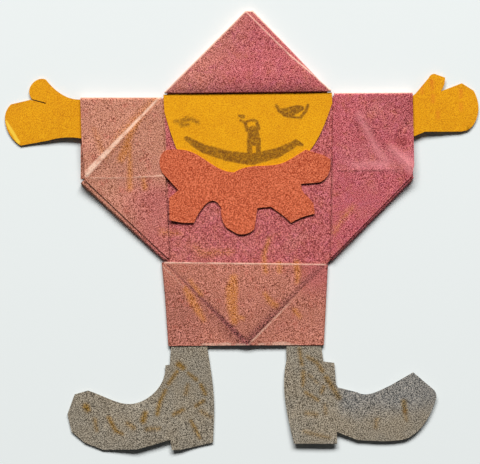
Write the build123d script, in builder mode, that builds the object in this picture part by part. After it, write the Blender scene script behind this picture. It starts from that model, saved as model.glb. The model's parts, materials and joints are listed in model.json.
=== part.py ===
"""Clown figure: one square sheet folded into hat, sleeves, chest and skirt, with a
cut paper face, collar, hands and boots. Lies on its back, front up, hat towards +Y.
All sizes in millimetres, laid out from the centre of the folded square."""
import os

from build123d import *

os.makedirs("parts", exist_ok=True)

# Folding sheet
sheet_side = 200.0
paper = 0.13
pitch = 0.20
overlap = 0.30
slit = 0.05
corner_relief = 1.60
crease_width = 0.50
crease_depth = 0.06

# Cut pieces
card = 0.22
boot_card = 0.30
face_height = 25.93
face_clearance = 0.20
face_gap = 0.15
collar_height = 25.33
collar_top = 8.50
collar_lap = 1.75
collar_rise = 4.0
collar_bend = 0.25
collar_clearance = 0.40
lap_clearance = 0.03
left_hand_length = 31.47
left_hand_height = 19.94
right_hand_length = 28.53
right_hand_height = 18.77
hand_clearance = 0.09
wrist_clearance = 0.30
left_boot_length = 43.98
left_boot_height = 39.88
right_boot_length = 45.63
right_boot_height = 37.90
boot_clearance = 0.45
leg_clearance = 0.05

# Three rounds of folding the corners to the middle leave the figure on this grid
unit = sheet_side / 8
edge_swell = (7 * pitch + paper) / 2
half_square = 2 * unit - edge_swell * 2 ** 0.5
inner_swell = (3 * pitch + paper) / 2
flap_inset = inner_swell + slit
seam_inset = (pitch + paper) / 2 + slit

# Corner places of the front panels, as shares of the grid unit
left_sleeve_shares = ((-1.037, 0.926), (-2.006, 0.926), (-1.990, 0.450), (-1.944, -0.028),
                      (-0.957, -0.960))
right_sleeve_shares = ((1.032, 0.980), (1.970, 0.986), (1.988, 0.160), (1.962, 0.030),
                       (1.000, -0.950))
hat_shares = ((-1.000, 1.022), (-0.030, 1.990), (0.504, 1.462), (0.994, 1.044))
hat_edge_shares = ((-0.020, 1.972), (0.048, 1.976), (0.892, 1.092))
skirt_shares = ((-1.005, -1.012), (-0.964, -1.444), (-0.925, -2.014), (0.000, -2.006),
                (0.880, -2.004), (0.928, -1.038))
left_back_shares = ((-1.936, -0.012), (-2.008, -0.012), (-2.008, 0.926), (-1.036, 0.926),
                    (-1.028, 0.908))
right_back_shares = ((1.936, -0.012), (1.980, -0.012), (1.975, 0.986), (1.032, 0.980),
                     (1.020, 0.933))
skirt_left_back_shares = ((-0.006, -1.936), (-0.006, -2.000), (-0.925, -2.000), (-1.005, -1.012),
                          (-0.930, -1.012))
skirt_right_back_shares = ((0.006, -1.936), (0.006, -2.000), (0.880, -2.000), (0.928, -1.038),
                           (0.900, -1.038))
skirt_valley_shares = (((-0.964, -1.048), (-0.012, -1.990)), ((0.904, -1.072), (0.004, -1.985)))
sleeve_ridge_shares = (((-1.048, 0.910), (-1.935, 0.020)), ((1.330, 0.750), (1.960, 0.110)))
loose_corner_share = (-1.986, -0.048)
sleeve_mid_shares = (((-1.900, -0.006), (-0.990, 0.016)), ((1.066, 0.084), (1.800, 0.102)))

# Where each slid-in piece meets the edge of its pocket, as shares of its own width and height
left_wrist_shares = (0.716, 0.690)
right_wrist_shares = (0.306, 0.667)
left_leg_shares = (0.706, 0.782)
right_leg_shares = (0.244, 0.780)

# Scissor outlines as shares of each piece's width and height: two points are a straight
# snip, more are one smooth sweep of the scissors
face_shares = (
    ((0.000, 0.975), (0.998, 1.000)),
    ((0.998, 1.000), (1.000, 0.878)),
    ((1.000, 0.878), (0.952, 0.624), (0.875, 0.349), (0.736, 0.115), (0.499, 0.000),
     (0.246, 0.115), (0.076, 0.356)),
    ((0.076, 0.356), (0.025, 0.647), (0.006, 0.774)),
    ((0.006, 0.774), (0.000, 0.975)),
)
collar_shares = (
    ((0.037, 0.991), (0.105, 1.000), (0.172, 0.978), (0.335, 0.787), (0.436, 0.729)),
    ((0.436, 0.729), (0.578, 0.805), (0.713, 0.835), (0.781, 0.903), (0.855, 0.998)),
    ((0.855, 0.998), (0.963, 0.930)),
    ((0.963, 0.930), (1.000, 0.882)),
    ((1.000, 0.882), (0.999, 0.780), (0.991, 0.720), (0.936, 0.611)),
    ((0.936, 0.611), (0.828, 0.593)),
    ((0.828, 0.593), (0.835, 0.522), (0.869, 0.441)),
    ((0.869, 0.441), (0.902, 0.361)),
    ((0.902, 0.361), (0.909, 0.238)),
    ((0.909, 0.238), (0.842, 0.204), (0.770, 0.132)),
    ((0.770, 0.132), (0.733, 0.204)),
    ((0.733, 0.204), (0.652, 0.322)),
    ((0.652, 0.322), (0.571, 0.306)),
    ((0.571, 0.306), (0.554, 0.061)),
    ((0.554, 0.061), (0.510, 0.005), (0.456, 0.000)),
    ((0.456, 0.000), (0.389, 0.076)),
    ((0.389, 0.076), (0.368, 0.156), (0.358, 0.306)),
    ((0.358, 0.306), (0.307, 0.394), (0.233, 0.265), (0.199, 0.132)),
    ((0.199, 0.132), (0.132, 0.132)),
    ((0.132, 0.132), (0.055, 0.163)),
    ((0.055, 0.163), (0.053, 0.428)),
    ((0.053, 0.428), (0.108, 0.517)),
    ((0.108, 0.517), (0.037, 0.673)),
    ((0.037, 0.673), (0.000, 0.794), (0.010, 0.943), (0.037, 0.991)),
)
left_hand_shares = (
    ((1.000, 0.640), (0.716, 0.690)),
    ((0.716, 0.690), (0.587, 0.728), (0.478, 0.836), (0.385, 0.991)),
    ((0.385, 0.991), (0.324, 1.000), (0.232, 0.871), (0.254, 0.700)),
    ((0.254, 0.700), (0.385, 0.643)),
    ((0.385, 0.643), (0.383, 0.625)),
    ((0.383, 0.625), (0.237, 0.688)),
    ((0.237, 0.688), (0.051, 0.620)),
    ((0.051, 0.620), (0.000, 0.483), (0.013, 0.251), (0.145, 0.000)),
    ((0.145, 0.000), (0.418, 0.078)),
    ((0.418, 0.078), (0.571, 0.120), (0.716, 0.108)),
    ((0.716, 0.108), (1.000, 0.108)),
    ((1.000, 0.108), (1.000, 0.640)),
)
right_hand_shares = (
    ((0.000, 0.590), (0.306, 0.643)),
    ((0.306, 0.643), (0.339, 0.683)),
    ((0.339, 0.683), (0.478, 0.936)),
    ((0.478, 0.936), (0.504, 0.984), (0.537, 1.000)),
    ((0.537, 1.000), (0.650, 0.939)),
    ((0.650, 0.939), (0.644, 0.855), (0.604, 0.719)),
    ((0.604, 0.719), (0.826, 0.850)),
    ((0.826, 0.850), (0.950, 0.732)),
    ((0.950, 0.732), (1.000, 0.488), (0.971, 0.244), (0.891, 0.102)),
    ((0.891, 0.102), (0.821, 0.077)),
    ((0.821, 0.077), (0.435, 0.073)),
    ((0.435, 0.073), (0.323, 0.000)),
    ((0.323, 0.000), (0.000, 0.000)),
    ((0.000, 0.000), (0.000, 0.590)),
)
left_boot_shares = (
    ((0.710, 1.000), (0.952, 1.000)),
    ((0.952, 1.000), (0.952, 0.782)),
    ((0.952, 0.782), (0.980, 0.582)),
    ((0.980, 0.582), (0.997, 0.407), (1.000, 0.261)),
    ((1.000, 0.261), (0.993, 0.057)),
    ((0.993, 0.057), (0.771, 0.000)),
    ((0.771, 0.000), (0.712, 0.000)),
    ((0.712, 0.000), (0.702, 0.077)),
    ((0.702, 0.077), (0.472, 0.004)),
    ((0.472, 0.004), (0.244, 0.000)),
    ((0.244, 0.000), (0.118, 0.054)),
    ((0.118, 0.054), (0.028, 0.137)),
    ((0.028, 0.137), (0.000, 0.268)),
    ((0.000, 0.268), (0.049, 0.417)),
    ((0.049, 0.417), (0.140, 0.446)),
    ((0.140, 0.446), (0.251, 0.398), (0.431, 0.345), (0.604, 0.444), (0.667, 0.636)),
    ((0.667, 0.636), (0.698, 0.640)),
    ((0.698, 0.640), (0.706, 0.785)),
    ((0.706, 0.785), (0.710, 1.000)),
)
right_boot_shares = (
    ((0.014, 1.000), (0.235, 1.000)),
    ((0.235, 1.000), (0.244, 0.780)),
    ((0.244, 0.780), (0.258, 0.650)),
    ((0.258, 0.650), (0.330, 0.639)),
    ((0.330, 0.639), (0.341, 0.469)),
    ((0.341, 0.469), (0.354, 0.444)),
    ((0.354, 0.444), (0.479, 0.407)),
    ((0.479, 0.407), (0.527, 0.390), (0.610, 0.411), (0.699, 0.461)),
    ((0.699, 0.461), (0.848, 0.565)),
    ((0.848, 0.565), (0.983, 0.427)),
    ((0.983, 0.427), (1.000, 0.378), (0.997, 0.352)),
    ((0.997, 0.352), (0.962, 0.244), (0.865, 0.086), (0.797, 0.036)),
    ((0.797, 0.036), (0.713, 0.023), (0.631, 0.021), (0.479, 0.030)),
    ((0.479, 0.030), (0.346, 0.095)),
    ((0.346, 0.095), (0.348, 0.000)),
    ((0.348, 0.000), (0.064, 0.002)),
    ((0.064, 0.002), (0.020, 0.244), (0.000, 0.471), (0.016, 0.660)),
    ((0.016, 0.660), (0.014, 0.780)),
    ((0.014, 0.780), (0.014, 1.000)),
)


def level(number):
    """Height of the underside of a layer of the folded sheet."""
    return number * pitch


def places(shares):
    """Points of a panel from shares of the grid unit."""
    return [(across * unit, up * unit) for across, up in shares]


def turned(points, quarter):
    """The same points, a number of quarter turns further round the square."""
    return [tuple(Vector(*point).rotate(Axis.Z, quarter * 90))[:2] for point in points]


def layer(number, outlines):
    """Flat layers of the sheet at one height."""
    with BuildSketch(Plane.XY.offset(level(number))) as sheet:
        for outline in outlines:
            Polygon(*outline, align=None)
    extrude(sheet.sketch, amount=paper)


def fold_plane(start, end):
    """Plane across a fold at its start, its x axis to the left of the fold's run."""
    run = Vector(*end) - Vector(*start)
    return Plane(origin=start, x_dir=run.rotate(Axis.Z, 90), z_dir=run)


def fold_section(plane, low, high):
    """Rounded turn of the sheet from one layer up to another."""
    swell = (level(high) - level(low) + paper) / 2
    with BuildSketch(plane) as section:
        with Locations((0, level(low) + swell)):
            Circle(swell)
            Circle(swell - paper, mode=Mode.SUBTRACT)
            Rectangle(swell, 2 * swell, align=(Align.MAX, Align.CENTER), mode=Mode.SUBTRACT)
        with Locations((0, level(low)), (0, level(high))):
            Rectangle(overlap, paper, align=(Align.MAX, Align.MIN))
    return section.sketch


def fold(low, high, *points):
    """Folded edge that swells to the left of a run of points."""
    section = fold_section(fold_plane(points[0], points[1]), low, high)
    with BuildLine() as run:
        Polyline(*points)
    sweep(section, path=run.line, transition=Transition.RIGHT)


def crease(start, end, height, mode):
    """Pressed crease line: a shallow valley when subtracted, a ridge when added."""
    depth = -crease_depth if mode == Mode.SUBTRACT else crease_depth
    with BuildSketch(fold_plane(start, end)) as section:
        with Locations((0, height)):
            Polygon((-crease_width / 2, 0), (crease_width / 2, 0), (0, depth), align=None)
    extrude(section.sketch, amount=(Vector(*end) - Vector(*start)).length, mode=mode)


def cut_outline(shares, corner, width, height):
    """Closed scissor outline of a cut piece, from the lower left corner of its box."""
    with BuildSketch() as outline:
        with BuildLine():
            for stretch in shares:
                points = [(corner[0] + across * width, corner[1] + up * height) for across, up in stretch]
                if len(points) == 2:
                    Line(*points)
                else:
                    Spline(*points)
        make_face()
    return outline.sketch


def hung(point, shares, width, height):
    """Lower left corner of a piece that meets a point at these shares of its size."""
    return (point[0] - shares[0] * width, point[1] - shares[1] * height)


left_sleeve = places(left_sleeve_shares)
right_sleeve = places(right_sleeve_shares)
hat = places(hat_shares)
skirt = places(skirt_shares)

half_edge = half_square / 2
quarter_flap = [(flap_inset, flap_inset), (half_square - flap_inset, flap_inset),
                (flap_inset, half_square - flap_inset)]
lower_half = [(2 * seam_inset + flap_inset, flap_inset), (half_square - flap_inset, flap_inset),
              (half_edge + seam_inset, half_edge - seam_inset)]
upper_half = [(up, across) for across, up in lower_half]
raw_quarter = [(slit, slit), (half_square - slit, slit), (slit, half_square - slit)]
whole_square = [(half_square, 0), (0, half_square), (-half_square, 0), (0, -half_square)]
halves = [turned(half, quarter) for quarter in range(4) for half in (lower_half, upper_half)]
flaps = [turned(quarter_flap, quarter) for quarter in range(4)]
raw_corners = [turned(raw_quarter, quarter) for quarter in range(4)]


def between(first, last, share):
    """Point part of the way along a line."""
    return tuple(Vector(*first) + (Vector(*last) - Vector(*first)) * share)[:2]


def shifted(point, across, up):
    """Point moved by a small step."""
    return (point[0] + across, point[1] + up)


def pocket_back(first, last, corner):
    """Layer behind an opened pocket, from its inner fold to the corner of the square."""
    inner = []
    for across, up in (first, last):
        if corner[0] == 0:
            inner.append(((half_square - abs(up)) * (1 if across > 0 else -1), up))
        else:
            inner.append((across, (half_square - abs(across)) * (1 if up > 0 else -1)))
    return [inner[0], inner[1], corner]


left_top, left_tip, left_bottom = left_sleeve[0], left_sleeve[3], left_sleeve[4]
right_top, right_tip, right_bottom = right_sleeve[0], right_sleeve[3], right_sleeve[4]
left_middle = between(left_top, left_bottom, 0.5)
right_middle = between(right_top, right_bottom, 0.5)
hat_middle = between(hat[0], hat[3], 0.5)
left_pocket = pocket_back(left_top, left_bottom, (-half_square, 0))
right_pocket = pocket_back(right_top, right_bottom, (half_square, 0))
hat_pocket = pocket_back(hat[0], hat[3], (0, half_square))
skirt_pocket = pocket_back(skirt[0], skirt[5], (0, -half_square))

with BuildPart() as folded_body:
    # Back of the figure: flaps of the last fold, and the backs of the opened pockets
    layer(0, halves + [places(shares) for shares in (left_back_shares, right_back_shares,
                                                      skirt_left_back_shares, skirt_right_back_shares)])
    layer(1, halves)
    layer(2, flaps)
    layer(3, flaps)
    layer(4, raw_corners)
    # Chest panel and the layers in front of it
    layer(5, [whole_square])
    layer(6, [left_pocket, right_pocket, hat_pocket, skirt_pocket])
    left_under = [shifted(left_pocket[2], 2 * slit, -slit), shifted(left_middle, 0, -slit), left_pocket[1]]
    right_under = [shifted(right_pocket[2], -2 * slit, -slit), shifted(right_middle, 0, -slit),
                   right_pocket[1]]
    hat_under = [[hat_pocket[0], shifted(hat_middle, -slit, 0), (-slit, half_square - 2 * slit)],
                 [hat_pocket[1], shifted(hat_middle, slit, 0), (slit, half_square - 2 * slit)]]
    layer(7, [left_under, right_under, skirt] + hat_under)
    hat_tucks = [[hat[0], between(hat[0], hat[1], 0.96),
                  shifted(between(hat_middle, hat[1], 0.9), -slit, 0), shifted(hat_middle, -slit, 0)],
                 [shifted(hat_middle, slit, 0), hat[1], hat[2], hat[3]]]
    layer(8, [[left_tip, left_middle, left_bottom], [right_tip, right_middle, right_bottom]] + hat_tucks)
    layer(9, [hat, left_sleeve, right_sleeve])

    # Folded edges round the square, nested one over another
    for quarter in range(4):
        corner = turned([(half_edge, half_edge), (half_square, 0), (half_edge, -half_edge)], quarter)
        fold(3, 4, *corner)
        fold(2, 5, *corner)
        short_corner = [(half_edge + corner_relief, half_edge - corner_relief), (half_square, 0),
                        (half_edge + corner_relief, corner_relief - half_edge)]
        fold(1, 6, *turned(short_corner, quarter))
        # Slits and seams of the back flaps
        slit_start = 2 * flap_inset
        slit_end = half_square - 3 * flap_inset
        for low, high in ((0, 3), (1, 2)):
            fold(low, high, *turned([(slit_end, flap_inset), (slit_start, flap_inset)], quarter))
            fold(low, high, *turned([(flap_inset, slit_start), (flap_inset, slit_end)], quarter))
        seam_in, seam_out = lower_half[0], lower_half[2]
        fold(0, 1, *turned([seam_in, seam_out], quarter))
        fold(0, 1, *turned([seam_out[::-1], seam_in[::-1]], quarter))

    # Outer layer still folded round the square at the hat and under both arms
    hat_edge = [(corner_relief - half_edge, half_edge + corner_relief)] + places(hat_edge_shares)
    hat_strip = hat_edge + [(half_edge - corner_relief - overlap, half_edge + corner_relief - overlap),
                            (0, half_square - 2 * overlap), shifted(hat_edge[0], overlap, -overlap)]
    fold(0, 7, *hat_edge)
    loose_start = (-half_edge - seam_inset, seam_inset - half_edge)
    loose_end = places([loose_corner_share])[0]
    loose_strip = [loose_start, shifted(loose_start, overlap, overlap),
                   shifted((-half_square, 0), flap_inset + overlap, overlap - flap_inset), loose_end]
    for number in (0, 7):
        layer(number, [hat_strip, loose_strip])
    fold(0, 7, loose_start, loose_end)
    fold(0, 7, (half_square, 0), (half_edge + seam_inset, seam_inset - half_edge))

    # Inner folds that frame the chest panel
    fold(6, 9, left_top, left_bottom)
    fold(6, 9, right_bottom, right_top)
    fold(6, 9, hat[3], hat[0])
    fold(6, 7, skirt[0], skirt[5])
    fold(7, 8, left_middle, left_bottom)
    fold(7, 8, right_bottom, right_middle)
    fold(7, 8, shifted(hat_middle, -slit, 0), hat[0])
    fold(7, 8, hat[3], shifted(hat_middle, slit, 0))

    # Edges of the hat and of the lower sleeves, turned under
    fold(8, 9, *hat)
    fold(8, 9, left_bottom, left_tip)
    fold(8, 9, right_tip, right_bottom)

    # Opened pockets: top edges of the sleeves, sides of the skirt
    fold(0, 9, left_sleeve[1], left_top)
    fold(0, 9, right_top, right_sleeve[1])
    fold(0, 7, skirt[2], skirt[1], skirt[0])
    fold(0, 7, skirt[5], skirt[4])

    # Crease lines left in the opened panels
    for shares in skirt_valley_shares:
        crease(*places(shares), level(7) + paper, Mode.SUBTRACT)
    for shares in sleeve_ridge_shares + sleeve_mid_shares:
        crease(*places(shares), level(9) + paper, Mode.ADD)

chest = level(5) + paper
with BuildPart() as face:
    face_left = left_top[0] + inner_swell + face_clearance
    face_width = right_top[0] - inner_swell - face_clearance - face_left
    face_bottom = hat[3][1] - inner_swell - face_gap - face_height
    outline = cut_outline(face_shares, (face_left, face_bottom), face_width, face_height)
    extrude(outline.moved(Location((0, 0, chest))), amount=card)

with BuildPart() as collar:
    sleeve_edge = left_middle[0] + inner_swell
    collar_left = sleeve_edge - collar_lap
    collar_width = right_middle[0] - inner_swell - collar_clearance - collar_left
    collar_corner = (collar_left, collar_top - collar_height)
    outline = cut_outline(collar_shares, collar_corner, collar_width, collar_height)
    extrude(outline, amount=level(9) + 4 * card)
    seat = chest + card
    lap_seat = level(9) + paper + lap_clearance
    lap_edge = sleeve_edge + collar_bend
    with BuildSketch(Plane.XZ) as bent:
        Polygon((-collar_width, lap_seat), (lap_edge, lap_seat), (lap_edge + collar_rise, seat),
                (collar_width, seat), (collar_width, seat + card), (lap_edge + collar_rise, seat + card),
                (lap_edge, lap_seat + card), (-collar_width, lap_seat + card), align=None)
    extrude(bent.sketch, amount=collar_width, both=True, mode=Mode.INTERSECT)

hand_seat = level(6) + paper + hand_clearance
with BuildPart() as left_hand:
    wrist = shifted(left_sleeve[1], 0, wrist_clearance)
    corner = hung(wrist, left_wrist_shares, left_hand_length, left_hand_height)
    outline = cut_outline(left_hand_shares, corner, left_hand_length, left_hand_height)
    extrude(outline.moved(Location((0, 0, hand_seat))), amount=card)

with BuildPart() as right_hand:
    wrist = shifted(right_sleeve[1], 0, wrist_clearance)
    corner = hung(wrist, right_wrist_shares, right_hand_length, right_hand_height)
    outline = cut_outline(right_hand_shares, corner, right_hand_length, right_hand_height)
    extrude(outline.moved(Location((0, 0, hand_seat))), amount=card)

boot_seat = paper + boot_clearance
with BuildPart() as left_boot:
    leg = shifted(skirt[2], leg_clearance, 0)
    corner = hung(leg, left_leg_shares, left_boot_length, left_boot_height)
    outline = cut_outline(left_boot_shares, corner, left_boot_length, left_boot_height)
    extrude(outline.moved(Location((0, 0, boot_seat))), amount=boot_card)

with BuildPart() as right_boot:
    leg = shifted(skirt[4], -leg_clearance, 0)
    corner = hung(leg, right_leg_shares, right_boot_length, right_boot_height)
    outline = cut_outline(right_boot_shares, corner, right_boot_length, right_boot_height)
    extrude(outline.moved(Location((0, 0, boot_seat))), amount=boot_card)

# The figure's own frame starts at the middle of its outline, on the face that it lies on
pieces = {"folded_body": folded_body, "face": face, "collar": collar, "left_hand": left_hand,
          "right_hand": right_hand, "left_boot": left_boot, "right_boot": right_boot}
middle = Compound([piece.part for piece in pieces.values()]).bounding_box().center()
for name, piece in pieces.items():
    piece.part.move(Location((-middle.X, -middle.Y, 0)))
    piece.part.label = name
    export_step(piece.part, f"parts/{name}.step")
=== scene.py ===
"""Dressed model of the folded paper clown, lying on its back on a pale table."""
import json
import math

import bmesh
import bpy
from bpy.props import FloatProperty, FloatVectorProperty, PointerProperty
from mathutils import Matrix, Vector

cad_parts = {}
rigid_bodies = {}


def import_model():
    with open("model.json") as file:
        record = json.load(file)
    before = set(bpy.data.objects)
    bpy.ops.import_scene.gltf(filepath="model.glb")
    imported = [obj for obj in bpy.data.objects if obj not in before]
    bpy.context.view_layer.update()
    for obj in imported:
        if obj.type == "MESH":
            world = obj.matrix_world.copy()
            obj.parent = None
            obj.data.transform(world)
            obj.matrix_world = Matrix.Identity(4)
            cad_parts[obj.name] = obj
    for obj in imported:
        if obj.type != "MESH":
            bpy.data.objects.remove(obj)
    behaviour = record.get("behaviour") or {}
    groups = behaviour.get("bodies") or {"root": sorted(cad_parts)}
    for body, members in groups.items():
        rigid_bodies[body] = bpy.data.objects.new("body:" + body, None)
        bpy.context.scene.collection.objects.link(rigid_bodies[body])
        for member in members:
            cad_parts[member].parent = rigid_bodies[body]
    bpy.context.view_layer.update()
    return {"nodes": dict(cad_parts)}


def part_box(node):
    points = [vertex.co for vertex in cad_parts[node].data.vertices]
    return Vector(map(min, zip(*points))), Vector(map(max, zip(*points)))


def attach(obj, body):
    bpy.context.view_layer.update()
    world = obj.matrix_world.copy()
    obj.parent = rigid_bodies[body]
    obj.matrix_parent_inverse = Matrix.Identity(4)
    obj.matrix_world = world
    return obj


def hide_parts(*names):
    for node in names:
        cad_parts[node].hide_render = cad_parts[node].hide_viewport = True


for leftover in list(bpy.data.objects):
    bpy.data.objects.remove(leftover)
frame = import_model()

bl_info = {
    "name": "Folded Paper Clown",
    "version": (1, 0, 0),
    "blender": (4, 5, 0),
    "location": "3D View > Sidebar > Paper Clown",
    "description": "Papers, folds and drawn marks of a flat folded paper figure",
    "category": "Object",
}

MM = 0.001

# Places on the figure in millimetres from the middle of its outline: x, y and, for a mark, half its width.
SKIRT_FOOT = (1.8, -34.0)
SKIRT_VALLEYS = (
    ((-22.2, -10.4), (1.6, -34.0)),
    ((2.0, -33.9), (24.5, -11.0)),
)
LEFT_SLEEVE_RIDGE = ((-24.3, 38.5), (-46.5, 16.3))
RIGHT_SLEEVE_RIDGE = ((35.1, 34.5), (44.0, 27.6), (51.0, 18.6))

LIT_EDGES = (
    ((-23.2, 41.4, 0.45), (1.0, 65.7, 0.50)),
    ((1.4, 65.9, 0.35), (3.4, 65.8, 0.40), (14.0, 55.3, 0.45), (24.8, 43.9, 0.40), (26.6, 42.0, 0.35)),
    ((-48.2, 39.85, 0.20), (-24.3, 39.95, 0.25)),
    ((28.0, 41.2, 0.25), (51.2, 41.35, 0.30)),
)
# Folds chafed pale by handling, painted paler still as a highlight where they face the lamp.
RUBBED_LIT_FOLDS = (
    ((1.3, 65.4, 0.10), (14.4, 52.4, 0.18), (20.5, 47.3, 0.22), (26.4, 42.2, 0.25)),
    ((-24.0, 40.4, 0.25), (-35.0, 28.9, 0.50), (-46.6, 16.7, 0.90)),
    ((-23.0, -9.7, 0.20), (25.9, -10.25, 0.16)),
)
# Faint chafed creases, and painted highlights along lit edges such as the skirt's lower lip.
FAINT_RUBS_AND_HIGHLIGHTS = (
    ((-45.3, 15.6, 0.10), (-34.0, 15.7, 0.10), (-22.6, 16.5, 0.25)),
    ((-12.0, -34.3, 0.25), (-4.0, -34.2, 0.55), (1.0, -34.4, 0.30)),
    ((5.0, -34.2, 0.25), (12.0, -33.9, 0.55), (17.0, -34.4, 0.20)),
    ((-23.4, -11.0, 0.15), (-17.4, -17.0, 0.10)),
)
# Painted highlights: soft pale bands on the lit side of the right sleeve's ridge, at its corner and above its
# middle crease.
SOFT_HIGHLIGHTS = (
    ((35.2, 34.6, 0.6), (38.0, 29.0, 0.6), (40.2, 24.5, 0.7), (43.2, 20.6, 0.8)),
    ((44.7, 24.6, 0.6), (51.5, 18.9, 2.0)),
    ((34.0, 19.6, 0.6), (44.0, 19.9, 1.2)),
)
# Painted shadow: dark lines under the right sleeve's crease, at the sleeves' inner edges and beside the
# face's edges.
PAINTED_SHADOWS = (
    ((28.6, 17.7, 0.10), (42.0, 17.9, 0.20)),
    ((-23.0, 33.5, 0.05), (-22.2, 15.5, 0.10), (-21.5, -7.8, 0.10)),
    ((27.1, 22.0, 0.05), (27.0, -3.0, 0.10)),
    ((27.1, 36.5, 0.15), (24.9, 30.6, 0.20), (20.8, 24.0, 0.20)),
    ((-23.2, 36.8, 0.10), (-21.9, 30.6, 0.15), (-19.8, 24.4, 0.15)),
)
# Painted shade on the skirt's middle panel beside the upper end of its right fold.
SKIRT_SHADE = (
    ((18.4, -16.0, 0.6), (24.0, -11.6, 0.9)),
)
RED_SPOTS = (
    ((46.9, 27.0, 1.2), (48.2, 26.4, 1.4)),
    ((50.9, 39.6, 0.5), (51.2, 35.0, 0.7)),
)
CRAYON = (
    ((-36.0, 21.4, 1.1), (-35.0, 23.4, 1.4), (-33.4, 28.6, 0.9), (-31.0, 32.6, 0.6)),
    ((-33.7, 31.0, 0.4), (-33.4, 24.0, 0.5), (-33.5, 12.5, 0.8)),
    ((-29.4, 15.6, 0.4), (-29.0, 12.8, 0.7)),
    ((-2.4, -14.2, 1.0), (-2.9, -17.6, 1.8), (-3.0, -22.0, 1.6), (-2.2, -27.0, 1.2)),
    ((-1.9, -25.6, 0.7), (0.4, -26.4, 0.5)),
    ((-16.8, -17.6, 0.7), (-15.2, -20.2, 1.2), (-13.2, -23.8, 1.1), (-11.4, -26.8, 0.6)),
    ((-15.4, -15.2, 0.4), (-12.4, -19.2, 0.7)),
    ((8.2, -2.6, 0.4), (6.6, -7.7, 0.6), (7.2, -12.4, 0.6)),
    ((11.2, -10.0, 0.6), (11.3, -12.4, 0.5)),
    ((16.4, -9.9, 0.9), (16.8, -13.0, 0.9), (16.6, -15.6, 0.5)),
    ((7.0, -19.0, 0.5), (8.2, -21.0, 0.8), (10.4, -22.8, 0.8)),
    ((16.0, -24.0, 0.7), (17.4, -26.0, 0.5)),
)
FAINT_CRAYON = (
    ((-14.0, -5.0, 0.6), (-12.2, -6.8, 0.9), (-7.5, -6.6, 0.9), (-2.5, -6.6, 0.6)),
    ((-26.0, 39.2, 1.0), (-36.0, 28.4, 1.4), (-40.0, 23.0, 0.8)),
    ((-23.8, -0.6, 0.9), (-18.4, -1.0, 0.7)),
    ((33.4, 7.1, 0.6), (30.6, 3.9, 0.8), (27.6, -0.6, 0.6)),
    ((-44.0, 30.0, 0.5), (-41.0, 22.0, 0.8)),
)

MOUTH = (
    ((-16.5, 27.5, 0.7), (-14.6, 26.2, 1.0), (-11.4, 24.4, 1.3), (-4.1, 22.2, 1.6), (3.1, 21.2, 1.8),
     (10.3, 23.0, 1.5), (15.1, 25.3, 1.1), (16.2, 26.3, 0.9), (18.0, 25.6, 0.5)),
)
NOSE_AND_EYES = (
    ((10.5, 37.2, 0.55), (11.2, 35.8, 0.50), (12.9, 34.3, 0.45), (15.0, 33.9, 0.40), (17.0, 33.7, 0.35)),
    ((11.9, 36.0, 0.50), (13.0, 35.7, 1.00), (14.9, 35.6, 1.50), (16.5, 36.2, 1.25), (17.9, 36.5, 0.80)),
    ((19.8, 37.4, 0.45), (19.3, 35.9, 0.45), (17.6, 33.7, 0.45)),
    ((-0.7, 34.2, 0.40), (0.3, 34.0, 0.70)),
    ((-0.3, 32.8, 0.35), (1.1, 32.2, 0.50), (1.6, 30.0, 0.60)),
    ((1.5, 32.5, 0.35), (3.0, 33.0, 0.40), (4.5, 32.6, 0.45), (5.0, 30.6, 0.60)),
    ((3.4, 29.6, 1.65), (3.6, 27.2, 1.90)),
    ((2.3, 26.8, 0.75), (2.4, 23.4, 0.80)),
    ((5.0, 27.2, 0.75), (5.0, 23.4, 0.75)),
)
FAINT_EYE = (
    ((-20.0, 32.6, 0.4), (-18.0, 32.5, 0.7), (-16.4, 33.3, 0.8), (-15.2, 33.2, 0.7), (-13.0, 32.2, 0.5)),
    ((-18.0, 31.6, 0.7), (-16.0, 31.6, 0.6)),
)
LIT_HAND_EDGE = (
    ((-70.6, 32.6, 0.25), (-68.9, 29.6, 0.55), (-66.9, 26.4, 0.45)),
)
HAND_SMUDGES = (
    ((56.9, 44.6, 0.6), (57.0, 42.4, 0.5)),
    ((57.3, 40.2, 0.5), (57.3, 38.5, 0.4)),
    ((54.0, 42.8, 0.4), (54.0, 41.2, 0.4)),
    ((65.7, 41.9, 0.5), (65.7, 40.0, 0.4)),
    ((65.7, 37.7, 0.4), (65.7, 36.1, 0.4)),
    ((58.8, 35.3, 0.4), (58.8, 33.7, 0.4)),
)
LEFT_BOOT_LINES = (
    ((-18.9, -40.2, 0.9), (-17.6, -41.2, 0.8)),
    ((-19.4, -42.4, 0.5), (-21.9, -46.0, 0.5)),
    ((-22.9, -48.0, 0.5), (-24.5, -51.4, 0.6), (-25.3, -55.0, 0.6)),
    ((-16.0, -42.9, 0.4), (-13.6, -44.8, 0.5)),
    ((-12.2, -46.4, 0.5), (-10.9, -49.0, 0.6)),
    ((-11.4, -51.2, 0.5), (-13.6, -52.6, 0.5)),
    ((-17.6, -53.8, 0.5), (-20.4, -55.2, 0.5)),
    ((-15.2, -57.2, 0.4), (-13.8, -59.7, 0.5), (-12.5, -62.3, 0.4)),
    ((-28.9, -54.9, 0.8), (-29.5, -57.0, 0.9)),
    ((-39.8, -56.3, 0.6), (-37.7, -60.1, 0.6), (-35.8, -61.0, 0.4)),
    ((-46.7, -52.9, 1.1), (-46.2, -53.7, 0.9)),
)
LEFT_BOOT_FAINT = (
    ((-16.2, -46.4, 0.5), (-16.8, -49.0, 0.5)),
    ((-12.2, -54.3, 0.5), (-9.3, -56.0, 0.4)),
    ((-44.0, -56.8, 0.6), (-43.4, -60.1, 0.5)),
    ((-34.2, -57.9, 0.6), (-32.3, -59.1, 0.7)),
    ((-28.4, -59.6, 0.7), (-24.8, -59.4, 0.5)),
)
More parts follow.
